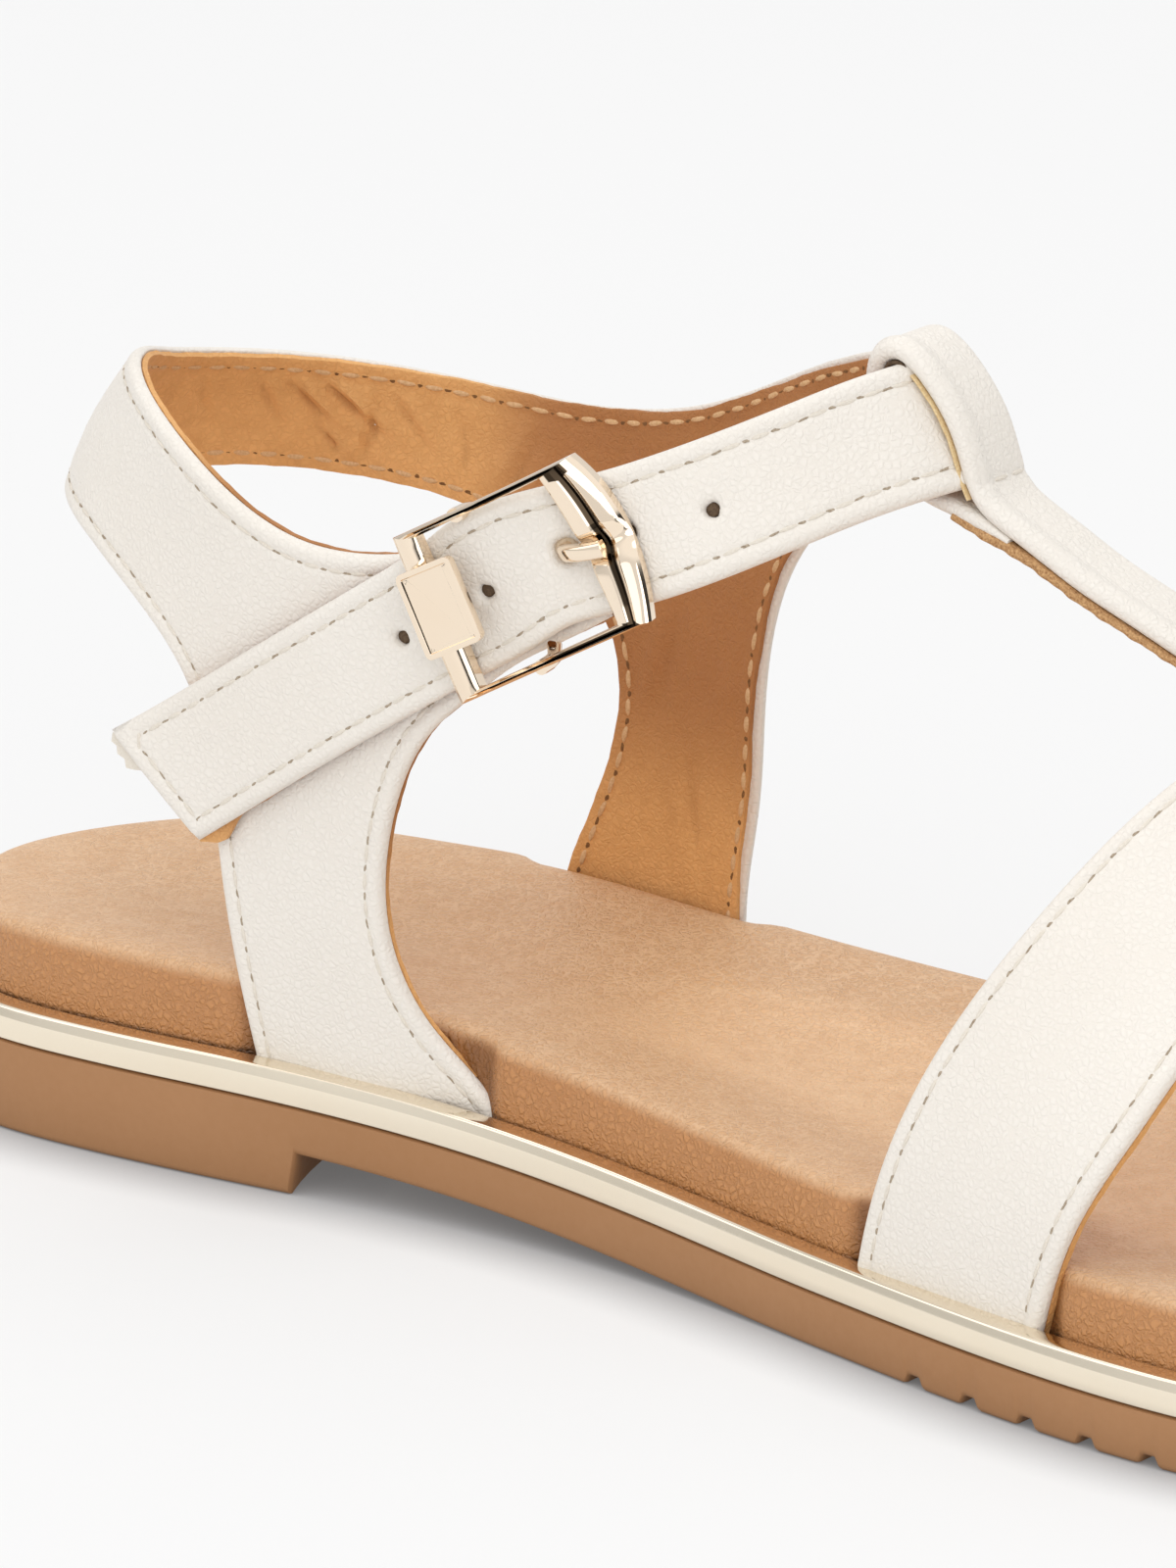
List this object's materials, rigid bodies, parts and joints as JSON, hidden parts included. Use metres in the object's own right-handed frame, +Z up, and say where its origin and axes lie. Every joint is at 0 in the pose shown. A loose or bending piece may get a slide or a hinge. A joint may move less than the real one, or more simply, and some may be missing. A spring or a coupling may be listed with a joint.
{
  "type": "strappy t-bar sandal",
  "caption": "Flat T-bar sandal for the right foot: padded footbed on a rubber sole with a low heel, metallic rim, and cream straps closed by a side buckle.",
  "frame": {"origin": "on the ground under the middle of the shoe's box", "axes": "+X to the toe, +Y to the inner (medial) side of the right foot, +Z up"},
  "size_m": [0.2559, 0.0863, 0.0986],
  "materials": {
    "rubber": "matt moulded brown rubber",
    "gold_rim": "mirror-bright pale gold coating",
    "tan_leather": "soft tan grained leather over foam",
    "cream_leather": "smooth cream leather, tan lining inside",
    "gold_metal": "polished champagne gold plating"
  },
  "bodies": {
    "root": {"outsole": "rubber", "rim": "gold_rim", "footbed": "tan_leather", "upper": "cream_leather", "buckle_frame": "gold_metal", "buckle_prong": "gold_metal", "buckle_plate": "gold_metal"}
  },
  "joints": []
}
